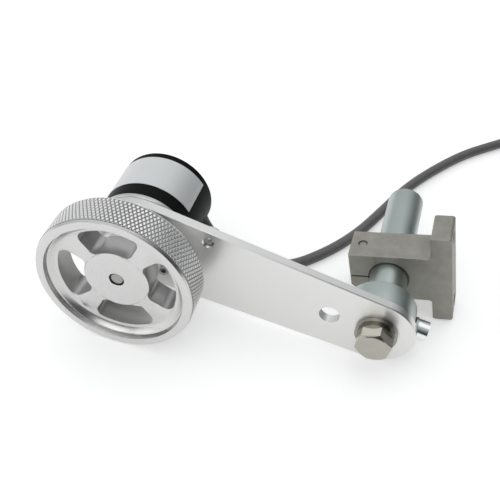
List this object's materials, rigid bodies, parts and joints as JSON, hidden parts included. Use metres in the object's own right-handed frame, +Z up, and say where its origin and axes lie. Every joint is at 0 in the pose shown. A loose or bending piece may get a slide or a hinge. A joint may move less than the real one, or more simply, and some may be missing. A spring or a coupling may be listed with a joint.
{
  "type": "cable length counter",
  "caption": "Cable length counter: knurled 200 mm measuring wheel on a rotary encoder, carried by a sprung arm with a clamp block and a grey signal cable.",
  "frame": {"origin": "middle of the bottom of the object as it stands on the wheel's rim and the lower edge of its foot, without the cable", "axes": "+X from the wheel to the pivot, level; +Y from the wheel's front along both axes to the free end of the post; +Z up"},
  "size_m": [0.2854, 0.2335, 0.0637],
  "materials": {
    "wheel_aluminium": "satin turned faces, bright knurled rim",
    "satin_aluminium": "fine satin anodised, bright bevelled edges",
    "turned_aluminium": "turned, clear anodised",
    "black_paint": "black, half gloss",
    "silver_film": "blank silver film, satin",
    "black_rubber": "moulded, matt",
    "zinc_steel": "blue zinc plate, turned",
    "nickel_steel": "nickel plate, warm",
    "block_alloy": "drawn bar, tumbled, dull",
    "bright_steel": "plain bright",
    "bearing_steel": "ground",
    "spring_steel": "drawn wire, dark",
    "bronze": "sintered bronze",
    "disc_glass": "clear with a graduated ring",
    "circuit_board": "green laminate",
    "black_plastic": "moulded",
    "cable_jacket": "grey PVC, slightly satin",
    "core_insulation": "PVC, one colour a core"
  },
  "bodies": {
    "arm": {"arm_plate": "satin_aluminium", "pivot_bush": "bronze", "stop_pin": "bright_steel", "plate_screw": "bright_steel", "encoder_screws": "bright_steel", "encoder_flange": "turned_aluminium", "encoder_cover": "black_paint", "cover_screws": "bright_steel", "encoder_label": "silver_film", "front_bearing_outer": "bearing_steel", "rear_bearing_outer": "bearing_steel", "bearing_circlip": "spring_steel", "light_source": "black_plastic", "photo_sensor": "black_plastic", "sensor_board": "circuit_board", "board_pillars": "turned_aluminium", "cable_gland": "black_rubber", "signal_cable": "cable_jacket", "cable_coil": "cable_jacket", "lead_wires": "core_insulation"},
    "wheel": {"measuring_wheel": "wheel_aluminium", "wheel_set_screws": "bright_steel", "encoder_shaft": "bearing_steel", "front_bearing_inner": "bearing_steel", "front_bearing_balls": "bearing_steel", "rear_bearing_inner": "bearing_steel", "rear_bearing_balls": "bearing_steel", "code_disc_hub": "turned_aluminium", "code_disc": "disc_glass"},
    "pivot": {"pivot_post": "zinc_steel", "spring_housing": "zinc_steel", "torsion_spring": "spring_steel", "anchor_screw": "zinc_steel", "anchor_washer": "zinc_steel", "flat_washer": "nickel_steel", "lock_washer": "nickel_steel", "pivot_bolt": "nickel_steel"},
    "clamp": {"clamp_block": "block_alloy", "clamp_screw": "zinc_steel"}
  },
  "joints": [
    {"name": "wheel_spin", "type": "hinge", "parent": "arm", "child": "wheel", "pos_m": [-0.04949, -0.01995, 0.03183], "axis": [0, 1, 0], "continuous": true},
    {"name": "arm_swing", "type": "hinge", "parent": "arm", "child": "pivot", "pos_m": [0.05038, -0.02775, 0.01681], "axis": [0, -1, 0], "range_deg": [0, 50], "stiffness_Nm_per_rad": 0.49, "springref_deg": -68.75, "deforming": ["torsion_spring"]},
    {"name": "clamp_slide", "type": "slide", "parent": "pivot", "child": "clamp", "axis": [0, 1, 0], "range_m": [-0.015, 0.03]}
  ]
}
